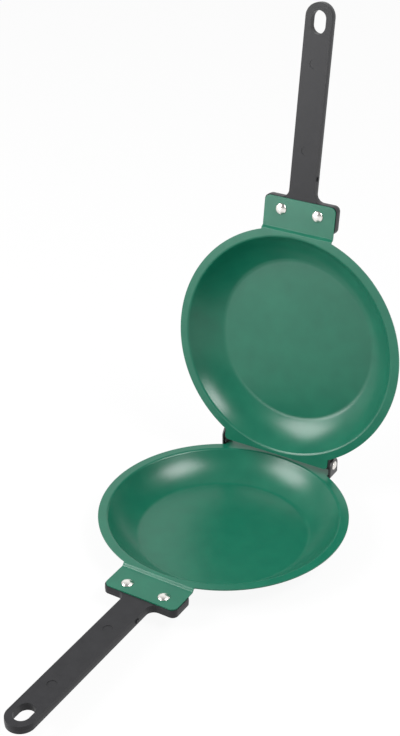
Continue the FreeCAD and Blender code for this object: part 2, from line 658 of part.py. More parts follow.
doc.recompute()
for item in doc.Objects:
    if "Invalid" in item.State or "Error" in item.State:
        raise RuntimeError("%s failed: %s" % (item.Name, item.State))
os.makedirs("parts", exist_ok=True)
for body in parts:
    shape = body.Shape
    if shape.isNull() or not shape.isValid() or len(shape.Solids) != 1:
        raise RuntimeError(body.Label + " is not one valid solid")
    shape.exportStep("parts/%s.step" % body.Label)
    print(body.Label, "%.1f mm3" % shape.Volume)
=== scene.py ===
import math

import bmesh
import bpy
from mathutils import Matrix, Vector


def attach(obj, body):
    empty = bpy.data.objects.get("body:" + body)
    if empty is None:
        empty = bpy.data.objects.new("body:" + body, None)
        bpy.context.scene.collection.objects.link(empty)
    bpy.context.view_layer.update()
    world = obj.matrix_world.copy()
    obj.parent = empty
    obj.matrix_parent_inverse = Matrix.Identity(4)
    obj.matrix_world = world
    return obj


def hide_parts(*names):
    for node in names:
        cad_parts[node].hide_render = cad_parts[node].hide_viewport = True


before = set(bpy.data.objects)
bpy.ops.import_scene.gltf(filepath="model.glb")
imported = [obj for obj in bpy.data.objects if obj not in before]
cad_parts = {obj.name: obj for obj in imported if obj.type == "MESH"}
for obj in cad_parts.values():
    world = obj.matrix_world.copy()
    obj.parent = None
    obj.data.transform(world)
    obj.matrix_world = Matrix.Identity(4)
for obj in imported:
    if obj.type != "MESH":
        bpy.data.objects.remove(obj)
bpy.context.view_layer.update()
metresPerMm = 0.001
mmPerMetre = 1000
print("frame loaded")


def linearColour(hexText):
    parts = [int(hexText[i : i + 2], 16) / 255 for i in (1, 3, 5)]
    return [c / 12.92 if c <= 0.04045 else ((c + 0.055) / 1.055) ** 2.4 for c in parts] + [1.0]


def addNode(tree, kind, settings=None, inputs=None):
    node = tree.nodes.new(kind)
    for name, value in (settings or {}).items():
        setattr(node, name, value)
    for name, value in (inputs or {}).items():
        if isinstance(value, bpy.types.NodeSocket):
            tree.links.new(value, node.inputs[name])
        else:
            node.inputs[name].default_value = value
    return node


# Materials

def newMaterial(name):
    material = bpy.data.materials.new(name)
    material.use_nodes = True
    material.node_tree.nodes.clear()
    return material, material.node_tree


def unevenFinish(name, look):
    # A finish whose colour and gloss wander with one noise, and whose skin is raised by another.
    material, tree = newMaterial(name)
    where = addNode(tree, "ShaderNodeTexCoord")
    mottle = addNode(tree, "ShaderNodeTexNoise", {"noise_dimensions": "3D"}, {
        "Vector": where.outputs["Object"],
        "Scale": mmPerMetre / look["mottleWidth"],
        "Detail": look["mottleDetail"],
        "Roughness": look["mottleHarshness"],
    })
    colour = addNode(tree, "ShaderNodeMix", {"data_type": "RGBA"}, {
        0: mottle.outputs["Fac"],
        6: linearColour(look["colour"]),
        7: linearColour(look["mottleColour"]),
    })
    gloss = addNode(tree, "ShaderNodeMapRange", None, {
        "Value": mottle.outputs["Fac"],
        "To Min": look["roughness"] - look["roughnessSpread"] / 2,
        "To Max": look["roughness"] + look["roughnessSpread"] / 2,
    })
    shader = addNode(tree, "ShaderNodeBsdfPrincipled", None, {
        "Base Color": colour.outputs[2],
        "Roughness": gloss.outputs["Result"],
        **look["shader"],
    })
    if look["skinHeight"]:
        skin = addNode(tree, "ShaderNodeTexNoise", {"noise_dimensions": "3D"}, {
            "Vector": where.outputs["Object"],
            "Scale": mmPerMetre / look["skinWidth"],
            "Detail": look["skinDetail"],
        })
        bump = addNode(tree, "ShaderNodeBump", None, {
            "Height": skin.outputs["Fac"],
            "Strength": 1.0,
            "Distance": look["skinHeight"] * metresPerMm,
        })
        tree.links.new(bump.outputs["Normal"], shader.inputs["Normal"])
    addNode(tree, "ShaderNodeOutputMaterial", None, {"Surface": shader.outputs["BSDF"]})
    return material


# Sprayed ceramic non-stick coat on pressed aluminium: satin, with a fine orange peel.
coatLook = {
    "colour": "#045541",
    "mottleColour": "#0E644C",
    "mottleWidth": 14.0,  # mm, as are the other widths and heights
    "mottleDetail": 3.0,
    "mottleHarshness": 0.5,
    "roughness": 0.30,
    "roughnessSpread": 0.06,
    "skinWidth": 0.9,
    "skinDetail": 1.0,
    "skinHeight": 0.012,
    "shader": {"IOR": 1.5},
}

# Moulded phenolic (bakelite): dense, near black, matt, with a faint filler mottle and the grain
# of a spark-eroded mould. A dry, filled resin gives back less than a clear one.
phenolicLook = {
    "colour": "#1D1D1F",
    "mottleColour": "#2D2D2F",
    "mottleWidth": 9.0,
    "mottleDetail": 5.0,
    "mottleHarshness": 0.6,
    "roughness": 0.38,
    "roughnessSpread": 0.12,
    "skinWidth": 0.55,
    "skinDetail": 2.0,
    "skinHeight": 0.02,
    "shader": {"IOR": 1.5, "Specular IOR Level": 0.2},
}

# Nickel plate over the steel rivets and pins: bright, scuffed by handling.
nickelLook = {
    "colour": "#ECE9E4",
    "mottleColour": "#ECE9E4",
    "mottleWidth": 0.8,
    "mottleDetail": 3.0,
    "mottleHarshness": 0.5,
    "roughness": 0.25,
    "roughnessSpread": 0.1,
    "skinHeight": 0.0,
    "shader": {"Metallic": 1.0},
}

# Zinc plate over the steel washers: greyer and duller than the nickel.
zincLook = {
    "colour": "#A7AAAC",
    "mottleColour": "#A7AAAC",
    "mottleWidth": 1.6,
    "mottleDetail": 3.0,
    "mottleHarshness": 0.5,
    "roughness": 0.52,
    "roughnessSpread": 0.2,
    "skinHeight": 0.0,
    "shader": {"Metallic": 1.0},
}

# Baked black paint on the pressed steel brackets: satin, slightly lumpy, greyer where it is thin.
hingePaintLook = {
    "colour": "#1B1B1C",
    "mottleColour": "#3A3A3B",
    "mottleWidth": 2.2,
    "mottleDetail": 4.0,
    "mottleHarshness": 0.5,
    "roughness": 0.38,
    "roughnessSpread": 0.14,
    "skinWidth": 2.2,
    "skinDetail": 4.0,
    "skinHeight": 0.01,
    "shader": {},
}

ceramicCoat = unevenFinish("sprayedCeramicCoat", coatLook)
phenolic = unevenFinish("mouldedPhenolic", phenolicLook)
nickelPlate = unevenFinish("nickelPlate", nickelLook)
zincPlate = unevenFinish("zincPlate", zincLook)
hingePaint = unevenFinish("blackHingePaint", hingePaintLook)
print("materials made")


# Geometry Nodes: one tree turns a profile, and the tree of each turned piece uses it

weldDistance = 0.001  # mm


def newTree(name, inputs):
    tree = bpy.data.node_groups.new(name, "GeometryNodeTree")
    tree.interface.new_socket("Geometry", in_out="OUTPUT", socket_type="NodeSocketGeometry")
    names = {}
    for label, kind in inputs:
        socket = tree.interface.new_socket(
            label, in_out="INPUT", socket_type="NodeSocket" + kind)
        names[label] = socket.identifier
    return tree, tree.nodes.new("NodeGroupInput").outputs, names


def makeTurnTree():
    # Turns a profile drawn in XZ about Z: a grid whose rows are the profile's own points.
    tree, size, _ = newTree("turnedProfile", [("Profile", "Geometry"), ("Steps around", "Int")])
    count = addNode(tree, "GeometryNodeAttributeDomainSize", {"component": "CURVE"}, {
        "Geometry": size["Profile"]})
    rows = count.outputs["Point Count"]
    columns = addNode(tree, "ShaderNodeMath", {"operation": "ADD"}, {
        0: size["Steps around"], 1: 1.0})
    grid = addNode(tree, "GeometryNodeMeshGrid", None, {
        "Size X": 1.0, "Size Y": 1.0, "Vertices X": columns.outputs[0], "Vertices Y": rows})
    place = addNode(tree, "GeometryNodeInputPosition")
    split = addNode(tree, "ShaderNodeSeparateXYZ", None, {0: place.outputs[0]})
    upwards = addNode(tree, "ShaderNodeMath", {"operation": "ADD"}, {
        0: split.outputs["Y"], 1: 0.5})
    lastRow = addNode(tree, "ShaderNodeMath", {"operation": "SUBTRACT"}, {0: rows, 1: 1.0})
    # The quarter keeps a row that comes out a hair under a whole number from falling to the next.
    row = addNode(tree, "ShaderNodeMath", {"operation": "MULTIPLY_ADD"}, {
        0: upwards.outputs[0], 1: lastRow.outputs[0], 2: 0.25})
    wholeRow = addNode(tree, "ShaderNodeMath", {"operation": "FLOOR"}, {0: row.outputs[0]})
    profilePoint = addNode(
        tree, "GeometryNodeSampleIndex", {"data_type": "FLOAT_VECTOR", "domain": "POINT"}, {
            "Geometry": size["Profile"], "Value": place.outputs[0], "Index": wholeRow.outputs[0]})
    turn = addNode(tree, "ShaderNodeMath", {"operation": "MULTIPLY"}, {
        0: split.outputs["X"], 1: -2 * math.pi})
    turned = addNode(tree, "ShaderNodeVectorRotate", {"rotation_type": "Z_AXIS"}, {
        "Vector": profilePoint.outputs[0], "Angle": turn.outputs[0]})
    moved = addNode(tree, "GeometryNodeSetPosition", None, {
        "Geometry": grid.outputs["Mesh"], "Position": turned.outputs[0]})
    closed = addNode(tree, "GeometryNodeMergeByDistance", None, {
        "Geometry": moved.outputs[0], "Distance": weldDistance})
    smooth = addNode(tree, "GeometryNodeSetShadeSmooth", None, {"Geometry": closed.outputs[0]})
    addNode(tree, "NodeGroupOutput", None, {"Geometry": smooth.outputs[0]})
    return tree


turnTree = makeTurnTree()


def cornerCurve(tree, corners, rounds, roundSteps):
    # A polyline with a fillet on each corner. A corner is a position socket or an (x, z) pair of
    # sockets or numbers, and a round is a socket or a number.
    line = addNode(tree, "GeometryNodeMeshLine", None, {"Count": len(corners)})
    order = addNode(tree, "GeometryNodeInputIndex")
    spots = addNode(tree, "GeometryNodeIndexSwitch", {"data_type": "VECTOR"}, {
        0: order.outputs[0]})
    sizes = addNode(tree, "GeometryNodeIndexSwitch", {"data_type": "FLOAT"}, {
        0: order.outputs[0]})
    for switch in (spots, sizes):
        while len(switch.index_switch_items) < len(corners):
            switch.index_switch_items.new()
    for i, (corner, size) in enumerate(zip(corners, rounds), start=1):
        if isinstance(corner, tuple):
            pair = addNode(tree, "ShaderNodeCombineXYZ", None, {"X": corner[0], "Z": corner[1]})
            corner = pair.outputs[0]
        tree.links.new(corner, spots.inputs[i])
        if isinstance(size, bpy.types.NodeSocket):
            tree.links.new(size, sizes.inputs[i])
        else:
            sizes.inputs[i].default_value = size
    moved = addNode(tree, "GeometryNodeSetPosition", None, {
        "Geometry": line.outputs[0], "Position": spots.outputs[0]})
    curve = addNode(tree, "GeometryNodeMeshToCurve", None, {"Mesh": moved.outputs[0]})
    rounded = addNode(tree, "GeometryNodeFilletCurve", {"mode": "POLY"}, {
        "Curve": curve.outputs[0], "Count": roundSteps, "Radius": sizes.outputs[0]})
    return rounded.outputs[0]


def finishTree(tree, geometry, material):
    real = addNode(tree, "GeometryNodeRealizeInstances", None, {"Geometry": geometry})
    painted = addNode(tree, "GeometryNodeSetMaterial", None, {
        "Geometry": real.outputs[0], "Material": material})
    addNode(tree, "NodeGroupOutput", None, {"Geometry": painted.outputs[0]})


def grown(tree, names, values, startMesh):
    # Runs a tree on a mesh and gives back the plain mesh that it makes.
    carrier = bpy.data.objects.new("treeCarrier", startMesh)
    bpy.context.scene.collection.objects.link(carrier)
    modifier = carrier.modifiers.new("tree", "NODES")
    modifier.node_group = tree
    for label, value in values.items():
        modifier[names[label]] = value
    evaluated = carrier.evaluated_get(bpy.context.evaluated_depsgraph_get())
    mesh = bpy.data.meshes.new_from_object(evaluated)
    carrier.modifiers.remove(modifier)
    bpy.data.objects.remove(carrier)
    return mesh


# Outlines and sheets, in millimetres

cutTolerance = 1e-5
sharpAngle = 50  # degrees from which a sheet's edge is broken
sheetEdgeSteps = 2
faceWeight = 60  # how strongly the flat faces hold the shading


def roundedPath(corners, stepAngle=6.0):
    # A closed outline from (x, y, round) corners; a corner without a round stays as it is.
    points = []
    count = len(corners)
    for i, (x, y, size) in enumerate(corners):
        here = Vector((x, y))
        if not size:
            points.append(here)
            continue
        before = (Vector(corners[i - 1][:2]) - here).normalized()
        after = (Vector(corners[(i + 1) % count][:2]) - here).normalized()
        between = before.angle(after)
        centre = here + (before + after).normalized() * size / math.sin(between / 2)
        first = here + before * size / math.tan(between / 2) - centre
        last = here + after * size / math.tan(between / 2) - centre
        sweep = math.atan2(first.cross(last), first.dot(last))
        steps = max(3, round(abs(math.degrees(sweep)) / stepAngle))
        for k in range(steps + 1):
            points.append(centre + Matrix.Rotation(sweep * k / steps, 2) @ first)
    return points


def arcPoints(centreX, centreY, radius, startAngle, endAngle, steps):
    # Corners without a round, for roundedPath.
    turn = [startAngle + (endAngle - startAngle) * k / steps for k in range(steps + 1)]
    return [(centreX + radius * math.cos(a), centreY + radius * math.sin(a), 0.0) for a in turn]


def circleLoop(centreX, centreY, radius, steps=32):
    corners = arcPoints(centreX, centreY, radius, 0, 2 * math.pi, steps)
    return [Vector(corner[:2]) for corner in corners[:-1]]


def spreadLoop(points, distance):
    # Moves a closed anticlockwise outline outwards by a small distance.
    moved = []
    for i, point in enumerate(points):
        along = (points[(i + 1) % len(points)] - points[i - 1]).normalized()
        moved.append(point + Vector((along.y, -along.x)) * distance)
    return moved


def addLoop(mesh, points, height):
    verts = [mesh.verts.new((p.x, p.y, height)) for p in points]
    edges = [mesh.edges.new((verts[i], verts[(i + 1) % len(verts)])) for i in range(len(verts))]
    return verts, edges


def fillLoops(mesh, edges, upwards):
    before = set(mesh.faces)
    bmesh.ops.triangle_fill(
        mesh, use_beauty=True, edges=edges, normal=(0, 0, 1 if upwards else -1))
    for face in mesh.faces:
        if face not in before:
            face.normal_update()
            if (face.normal.z > 0) != upwards:
                face.normal_flip()


def bridge(mesh, lower, upper):
    # Quads between two loops of as many points, faced outwards for an anticlockwise outline.
    for i in range(len(lower)):
        k = (i + 1) % len(lower)
        mesh.faces.new((lower[i], lower[k], upper[k], upper[i]))


def asMesh(work, name):
    mesh = bpy.data.meshes.new(name)
    for face in work.faces:
        face.smooth = True
    work.to_mesh(mesh)
    work.free()
    return mesh


def sheetFinish(gauge, offset, edgeRound):
    # Thickens a pressed sheet and breaks its cut edges.
    return [
        ("SOLIDIFY", {"thickness": gauge, "offset": offset, "use_even_offset": True}),
        ("BEVEL", {"width": edgeRound, "segments": sheetEdgeSteps, "limit_method": "ANGLE",
                   "angle_limit": math.radians(sharpAngle)}),
        ("WEIGHTED_NORMAL", {"weight": faceWeight}),
    ]


def finishPiece(name, mesh, place, material, body, replaced, modifiers=()):
    # Gives a millimetre mesh its modifiers, puts it in its place and hands it to the frame.
    piece = bpy.data.objects.new(name, mesh)
    bpy.context.scene.collection.objects.link(piece)
    for kind, settings in modifiers:
        modifier = piece.modifiers.new(kind.title(), kind)
        for key, value in settings.items():
            setattr(modifier, key, value)
    if modifiers:
        evaluated = piece.evaluated_get(bpy.context.evaluated_depsgraph_get())
        baked = bpy.data.meshes.new_from_object(evaluated)
        piece.modifiers.clear()
        piece.data = baked
    piece.data.name = name
    piece.data.transform(Matrix.Scale(metresPerMm, 4) @ place)
    piece.data.materials.clear()
    piece.data.materials.append(material)
    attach(piece, body)
    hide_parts(*replaced)


# Pans

# Lengths are in millimetres in the lower pan's own place. A reach is measured from the pan's
# middle along Y, to the hinge or to the handle's end.
panSizes = {
    "rimRadius": 95.0,
    "mouthRadius": 88.0,
    "floorRadius": 65.3,
    "ringRadius": 89.8,  # where the turned bowl meets the flat flange
    "panDepth": 19.4,  # to the underside of the flange
    "sheetGauge": 1.0,
    "mouthBend": 2.6,
    "floorBend": 9.0,
    "wallTurn": 38.0,  # degrees by which the wall steepens from the floor to the mouth
    "rimEdgeRound": 0.3,
    "hingeHalfWidth": 46.0,
    "hingeReach": 91.6,
    "hingeCornerRound": 3.0,
    "tabHalfWidth": 29.6,
    "tabReach": 117.4,
    "tabCornerRound": 4.5,
    "joggleReach": 91.5,
    "joggleRun": 2.2,
    "joggleDrop": 2.0,
    "joggleSteps": 9,
    "joggleMargin": 4.0,  # the cuts for the joggle start this far inside the ring
    "heightMargin": 0.01,  # what lies within this of the flange is part of it
    "wallSteps": 12,
    "stepsPerBend": 10,
    "stepsAround": 256,
    "rimArcSteps": 110,
}
rivetPattern = {"offset": 15.3, "reach": 108.3, "holeRadius": 2.05}
flangeTop = panSizes["panDepth"] + panSizes["sheetGauge"]

# The upper pieces are the lower ones turned over on the closed rims, then opened about the pins.
pivotSizes = {
    "openAngle": 98.2,
    "closedGap": 0.6,
    "reach": 89.2,
    "height": 27.9,
}
pinPoint = Vector((0, pivotSizes["reach"], pivotSizes["height"]))
lowerPlace = Matrix.Identity(4)
upperPlace = (
    Matrix.Translation(pinPoint)
    @ Matrix.Rotation(math.radians(-pivotSizes["openAngle"]), 4, "X")
    @ Matrix.Translation(-pinPoint)
    @ Matrix.Translation((0, 0, 2 * flangeTop + pivotSizes["closedGap"]))
    @ Matrix.Rotation(math.pi, 4, "Y")
)
places = {"lower": lowerPlace, "upper": upperPlace}


def makeBowlTree():
    # The food side of a pressed pan: flat floor, dished wall, rolled mouth, start of the flange.
    tree, size, names = newTree("pressedBowl", [
        ("Floor radius", "Float"), ("Mouth radius", "Float"), ("Ring radius", "Float"),
        ("Floor height", "Float"), ("Flange height", "Float"), ("Floor bend", "Float"),
        ("Wall turn", "Float"), ("Mouth bend", "Float"), ("Steps per bend", "Int"),
        ("Steps around", "Int"), ("Material", "Material")])
    foot = addNode(tree, "ShaderNodeCombineXYZ", None, {
        "X": size["Floor radius"], "Z": size["Floor height"]})
    mouth = addNode(tree, "ShaderNodeCombineXYZ", None, {
        "X": size["Mouth radius"], "Z": size["Flange height"]})
    # The wall is an arc over the chord from foot to mouth, about a centre inside the bowl.
    chord = addNode(tree, "ShaderNodeVectorMath", {"operation": "SUBTRACT"}, {
        0: mouth.outputs[0], 1: foot.outputs[0]})
    middle = addNode(tree, "ShaderNodeVectorMath", {"operation": "MULTIPLY_ADD"}, {
        0: chord.outputs[0], 1: (0.5, 0.5, 0.5), 2: foot.outputs[0]})
    inwards = addNode(tree, "ShaderNodeVectorRotate", {"rotation_type": "Y_AXIS"}, {
        "Vector": chord.outputs[0], "Angle": -math.pi / 2})
    halfTurn = addNode(tree, "ShaderNodeMath", {"operation": "MULTIPLY"}, {
        0: size["Wall turn"], 1: 0.5})
    slope = addNode(tree, "ShaderNodeMath", {"operation": "TANGENT"}, {0: halfTurn.outputs[0]})
    away = addNode(tree, "ShaderNodeMath", {"operation": "DIVIDE"}, {0: 0.5, 1: slope.outputs[0]})
    centre = addNode(tree, "ShaderNodeVectorMath", {"operation": "MULTIPLY_ADD"}, {
        0: inwards.outputs[0], 1: away.outputs[0], 2: middle.outputs[0]})
    wall = []
    for k in range(1, panSizes["wallSteps"]):
        part = addNode(tree, "ShaderNodeMath", {"operation": "MULTIPLY"}, {
            0: size["Wall turn"], 1: -k / panSizes["wallSteps"]})
        spot = addNode(tree, "ShaderNodeVectorRotate", {"rotation_type": "Y_AXIS"}, {
            "Vector": foot.outputs[0], "Center": centre.outputs[0], "Angle": part.outputs[0]})
        wall.append(spot.outputs[0])
    # A point halfway along the floor keeps its middle free of long thin triangles.
    halfFloor = addNode(tree, "ShaderNodeVectorMath", {"operation": "MULTIPLY"}, {
        0: foot.outputs[0], 1: (0.5, 1.0, 1.0)})
    pole = addNode(tree, "ShaderNodeCombineXYZ", None, {"Z": size["Floor height"]})
    ring = addNode(tree, "ShaderNodeCombineXYZ", None, {
        "X": size["Ring radius"], "Z": size["Flange height"]})
    corners = [pole.outputs[0], halfFloor.outputs[0], foot.outputs[0]]
    corners += wall + [mouth.outputs[0], ring.outputs[0]]
    rounds = [0.0, 0.0, size["Floor bend"]] + [0.0] * len(wall) + [size["Mouth bend"], 0.0]
    turned = addNode(tree, "GeometryNodeGroup", {"node_tree": turnTree}, {
        "Profile": cornerCurve(tree, corners, rounds, size["Steps per bend"]),
        "Steps around": size["Steps around"]})
    finishTree(tree, turned.outputs[0], size["Material"])
    return tree, names


def panMesh():
    s = panSizes
    bowl = grown(*makeBowlTree(), {
        "Floor radius": s["floorRadius"],
        "Mouth radius": s["mouthRadius"],
        "Ring radius": s["ringRadius"],
        "Floor height": s["sheetGauge"],
        "Flange height": flangeTop,
        "Floor bend": s["floorBend"],
        "Wall turn": math.radians(s["wallTurn"]),
        "Mouth bend": s["mouthBend"],
        "Steps per bend": s["stepsPerBend"],
        "Steps around": s["stepsAround"],
        "Material": ceramicCoat,
    }, bpy.data.meshes.new("bowlStart"))
    work = bmesh.new()
    work.from_mesh(bowl)
    edges = [e for e in work.edges if e.is_boundary]
    rim, half, tab = s["rimRadius"], s["hingeHalfWidth"], s["tabHalfWidth"]
    hinge, hingeRound = s["hingeReach"], s["hingeCornerRound"]
    end, endRound = -s["tabReach"], s["tabCornerRound"]
    hingeAngle = math.acos(half / rim)
    tabAngle = math.asin(tab / rim)
    rightArc = arcPoints(0, 0, rim, tabAngle - math.pi / 2, hingeAngle, s["rimArcSteps"])
    leftArc = arcPoints(
        0, 0, rim, math.pi - hingeAngle, 1.5 * math.pi - tabAngle, s["rimArcSteps"])
    outline = roundedPath(
        rightArc + [(half, hinge, hingeRound), (-half, hinge, hingeRound)]
        + leftArc + [(-tab, end, endRound), (tab, end, endRound)])
    edges += addLoop(work, outline, flangeTop)[1]
    for side in (-1, 1):
        hole = circleLoop(
            side * rivetPattern["offset"], -rivetPattern["reach"], rivetPattern["holeRadius"])
        edges += addLoop(work, hole, flangeTop)[1]
    fillLoops(work, edges, True)
    farOut = s["ringRadius"] - s["joggleMargin"]
    for k in range(s["joggleSteps"] + 1):
        cutAt = -(s["joggleReach"] + s["joggleRun"] * k / s["joggleSteps"])
        faces = [f for f in work.faces if abs(f.calc_center_median().y) > farOut]
        parts = faces + list({e for f in faces for e in f.edges})
        parts += list({v for f in faces for v in f.verts})
        bmesh.ops.bisect_plane(
            work, geom=parts, plane_co=(0, cutAt, 0), plane_no=(0, 1, 0), dist=cutTolerance)
    for vert in work.verts:
        share = min(1.0, max(0.0, (-vert.co.y - s["joggleReach"]) / s["joggleRun"]))
        if share and vert.co.z > flangeTop - s["heightMargin"]:
            vert.co.z -= s["joggleDrop"] * share * share * (3 - 2 * share)  # an even S
    return asMesh(work, "pan")


panSheet = panMesh()
panFinish = sheetFinish(panSizes["sheetGauge"], -1.0, panSizes["rimEdgeRound"])
for level in ("lower", "upper"):
    finishPiece(level + "PressedPan", panSheet.copy(), places[level], ceramicCoat, level,
                [level + "_pan"], panFinish)
print("pans made")


# Handles

handleSizes = {
    "thickness": 6.0,
    "headHalfWidth": 30.3,
    "headInnerReach": 96.0,
    "headReach": 118.1,
    "headCornerRound": 4.5,
    "neckRound": 6.0,
    "barHalfWidth": 10.75,
    "reach": 263.6,
    "edgeRound": 0.9,
    "edgeSteps": 4,
    "draft": 0.18,  # the sides lean in from the mould's parting line at mid thickness
    "hangHoleReach": 249.4,
    "hangHoleRadius": 6.0,
    "hangHoleHalfLength": 8.5,
    "hangHoleEdgeRound": 0.6,
    "gateReach": 135.5,
    "gateHalfLength": 1.6,
    "gateStand": 0.7,
    "gateSink": 0.8,  # how far its root goes into the bar
    "gateThickness": 2.4,
    "gateEdgeShare": 0.35,  # of the handle's own edge round
    "markReaches": (155.5, 219.5),
    "markRadius": 3.5,
    "markDepth": 0.25,
    "tipSteps": 40,
    "slotEndSteps": 20,
}
tabTop = flangeTop - panSizes["joggleDrop"]
handleTop = tabTop - panSizes["sheetGauge"]
handleUnder = handleTop - handleSizes["thickness"]


def handleMesh(gateSide):
    s = handleSizes
    half, inner, head = s["headHalfWidth"], -s["headInnerReach"], -s["headReach"]
    bar, corner, neck = s["barHalfWidth"], s["headCornerRound"], s["neckRound"]
    tip = arcPoints(0, bar - s["reach"], bar, math.pi, 2 * math.pi, s["tipSteps"])
    outline = roundedPath(
        [(-half, inner, corner), (-half, head, corner), (-bar, head, neck)] + tip
        + [(bar, head, neck), (half, head, corner), (half, inner, corner)])
    leaning = spreadLoop(outline, -s["draft"])
    middle = (handleUnder + handleTop) / 2
    work = bmesh.new()
    weight = work.edges.layers.float.new("bevel_weight_edge")
    topRim, topLoops = addLoop(work, leaning, handleTop)
    midRim, midEdges = addLoop(work, outline, middle)
    lowRim, lowLoops = addLoop(work, leaning, handleUnder)
    for edge in topLoops + lowLoops:
        edge[weight] = 1.0
    for edge in midEdges:
        edge.smooth = False
    bridge(work, lowRim, midRim)
    bridge(work, midRim, topRim)
    straight = s["hangHoleHalfLength"] - s["hangHoleRadius"]
    slot = [Vector(point[:2]) for point in
            arcPoints(0, straight - s["hangHoleReach"], s["hangHoleRadius"],
                      0, math.pi, s["slotEndSteps"])
            + arcPoints(0, -straight - s["hangHoleReach"], s["hangHoleRadius"],
                        math.pi, 2 * math.pi, s["slotEndSteps"])]
    holes = [(slot, s["hangHoleEdgeRound"] / s["edgeRound"])]
    for side in (-1, 1):
        hole = circleLoop(
            side * rivetPattern["offset"], -rivetPattern["reach"], rivetPattern["holeRadius"])
        holes.append((hole, 0.0))
    for hole, roundShare in holes:
        holeTop, holeTopEdges = addLoop(work, hole, handleTop)
        holeLow, holeLowEdges = addLoop(work, hole, handleUnder)
        for edge in holeTopEdges + holeLowEdges:
            edge[weight] = roundShare
        bridge(work, holeTop, holeLow)
        topLoops += holeTopEdges
        lowLoops += holeLowEdges
    for reach in s["markReaches"]:
        mark = circleLoop(0, -reach, s["markRadius"])
        markTop, markTopEdges = addLoop(work, mark, handleTop)
        markLow = [work.verts.new((p.x, p.y, handleTop - s["markDepth"])) for p in mark]
        bridge(work, markTop, markLow)
        work.faces.new(markLow)
        topLoops += markTopEdges
    fillLoops(work, topLoops, True)
    fillLoops(work, lowLoops, False)
    gateX = bar + (s["gateStand"] - s["gateSink"]) / 2
    gate = bmesh.ops.create_cube(work, size=1.0, matrix=Matrix.LocRotScale(
        Vector((gateSide * gateX, -s["gateReach"], middle)), None,
        Vector((s["gateStand"] + s["gateSink"], 2 * s["gateHalfLength"], s["gateThickness"]))))
    for vert in gate["verts"]:
        for edge in vert.link_edges:
            edge[weight] = s["gateEdgeShare"]
    bmesh.ops.recalc_face_normals(work, faces=work.faces)
    return asMesh(work, "handle")


handleFinish = [
    ("BEVEL", {"width": handleSizes["edgeRound"], "segments": handleSizes["edgeSteps"],
               "limit_method": "WEIGHT"}),
    ("WEIGHTED_NORMAL", {"weight": faceWeight, "keep_sharp": True}),
]
for level, gateSide in (("lower", 1), ("upper", -1)):
    finishPiece(level + "MouldedHandle", handleMesh(gateSide), places[level], phenolic, level,
                [level + "_handle"], handleFinish)
print("handles made")


# Rivets and washers: the keys are the names of their trees' inputs

handleRivetSizes = {
    "Head radius": 4.4,
    "Head height": 2.0,
    "Head edge": 0.4,
    "Shank radius": 2.0,
    "Grip": 7.8,
    "Tail radius": 3.2,
    "Tail height": 1.2,
    "Tail round share": 0.4,  # of the tail's height
    "Dome steps": 10,
    "Steps around": 48,
}
handleWasherSizes = {
    "Outer radius": 5.5,
    "Hole radius": rivetPattern["holeRadius"],
    "Thickness": 0.8,
    "Edge round": 0.15,
    "Steps around": 48,
}
rivetEdgeSteps = 3
washerEdgeSteps = 2


def onPoints(tree, points, turned):
    # One turned piece on every point, its Z along the point's own aim.
    aim = addNode(tree, "GeometryNodeInputNamedAttribute", {"data_type": "FLOAT_VECTOR"}, {
        "Name": "aim"})
    spin = addNode(tree, "FunctionNodeAlignRotationToVector", {"axis": "Z"}, {
        "Vector": aim.outputs["Attribute"]})
    copies = addNode(tree, "GeometryNodeInstanceOnPoints", None, {
        "Points": points, "Instance": turned, "Rotation": spin.outputs[0]})
    return copies.outputs[0]


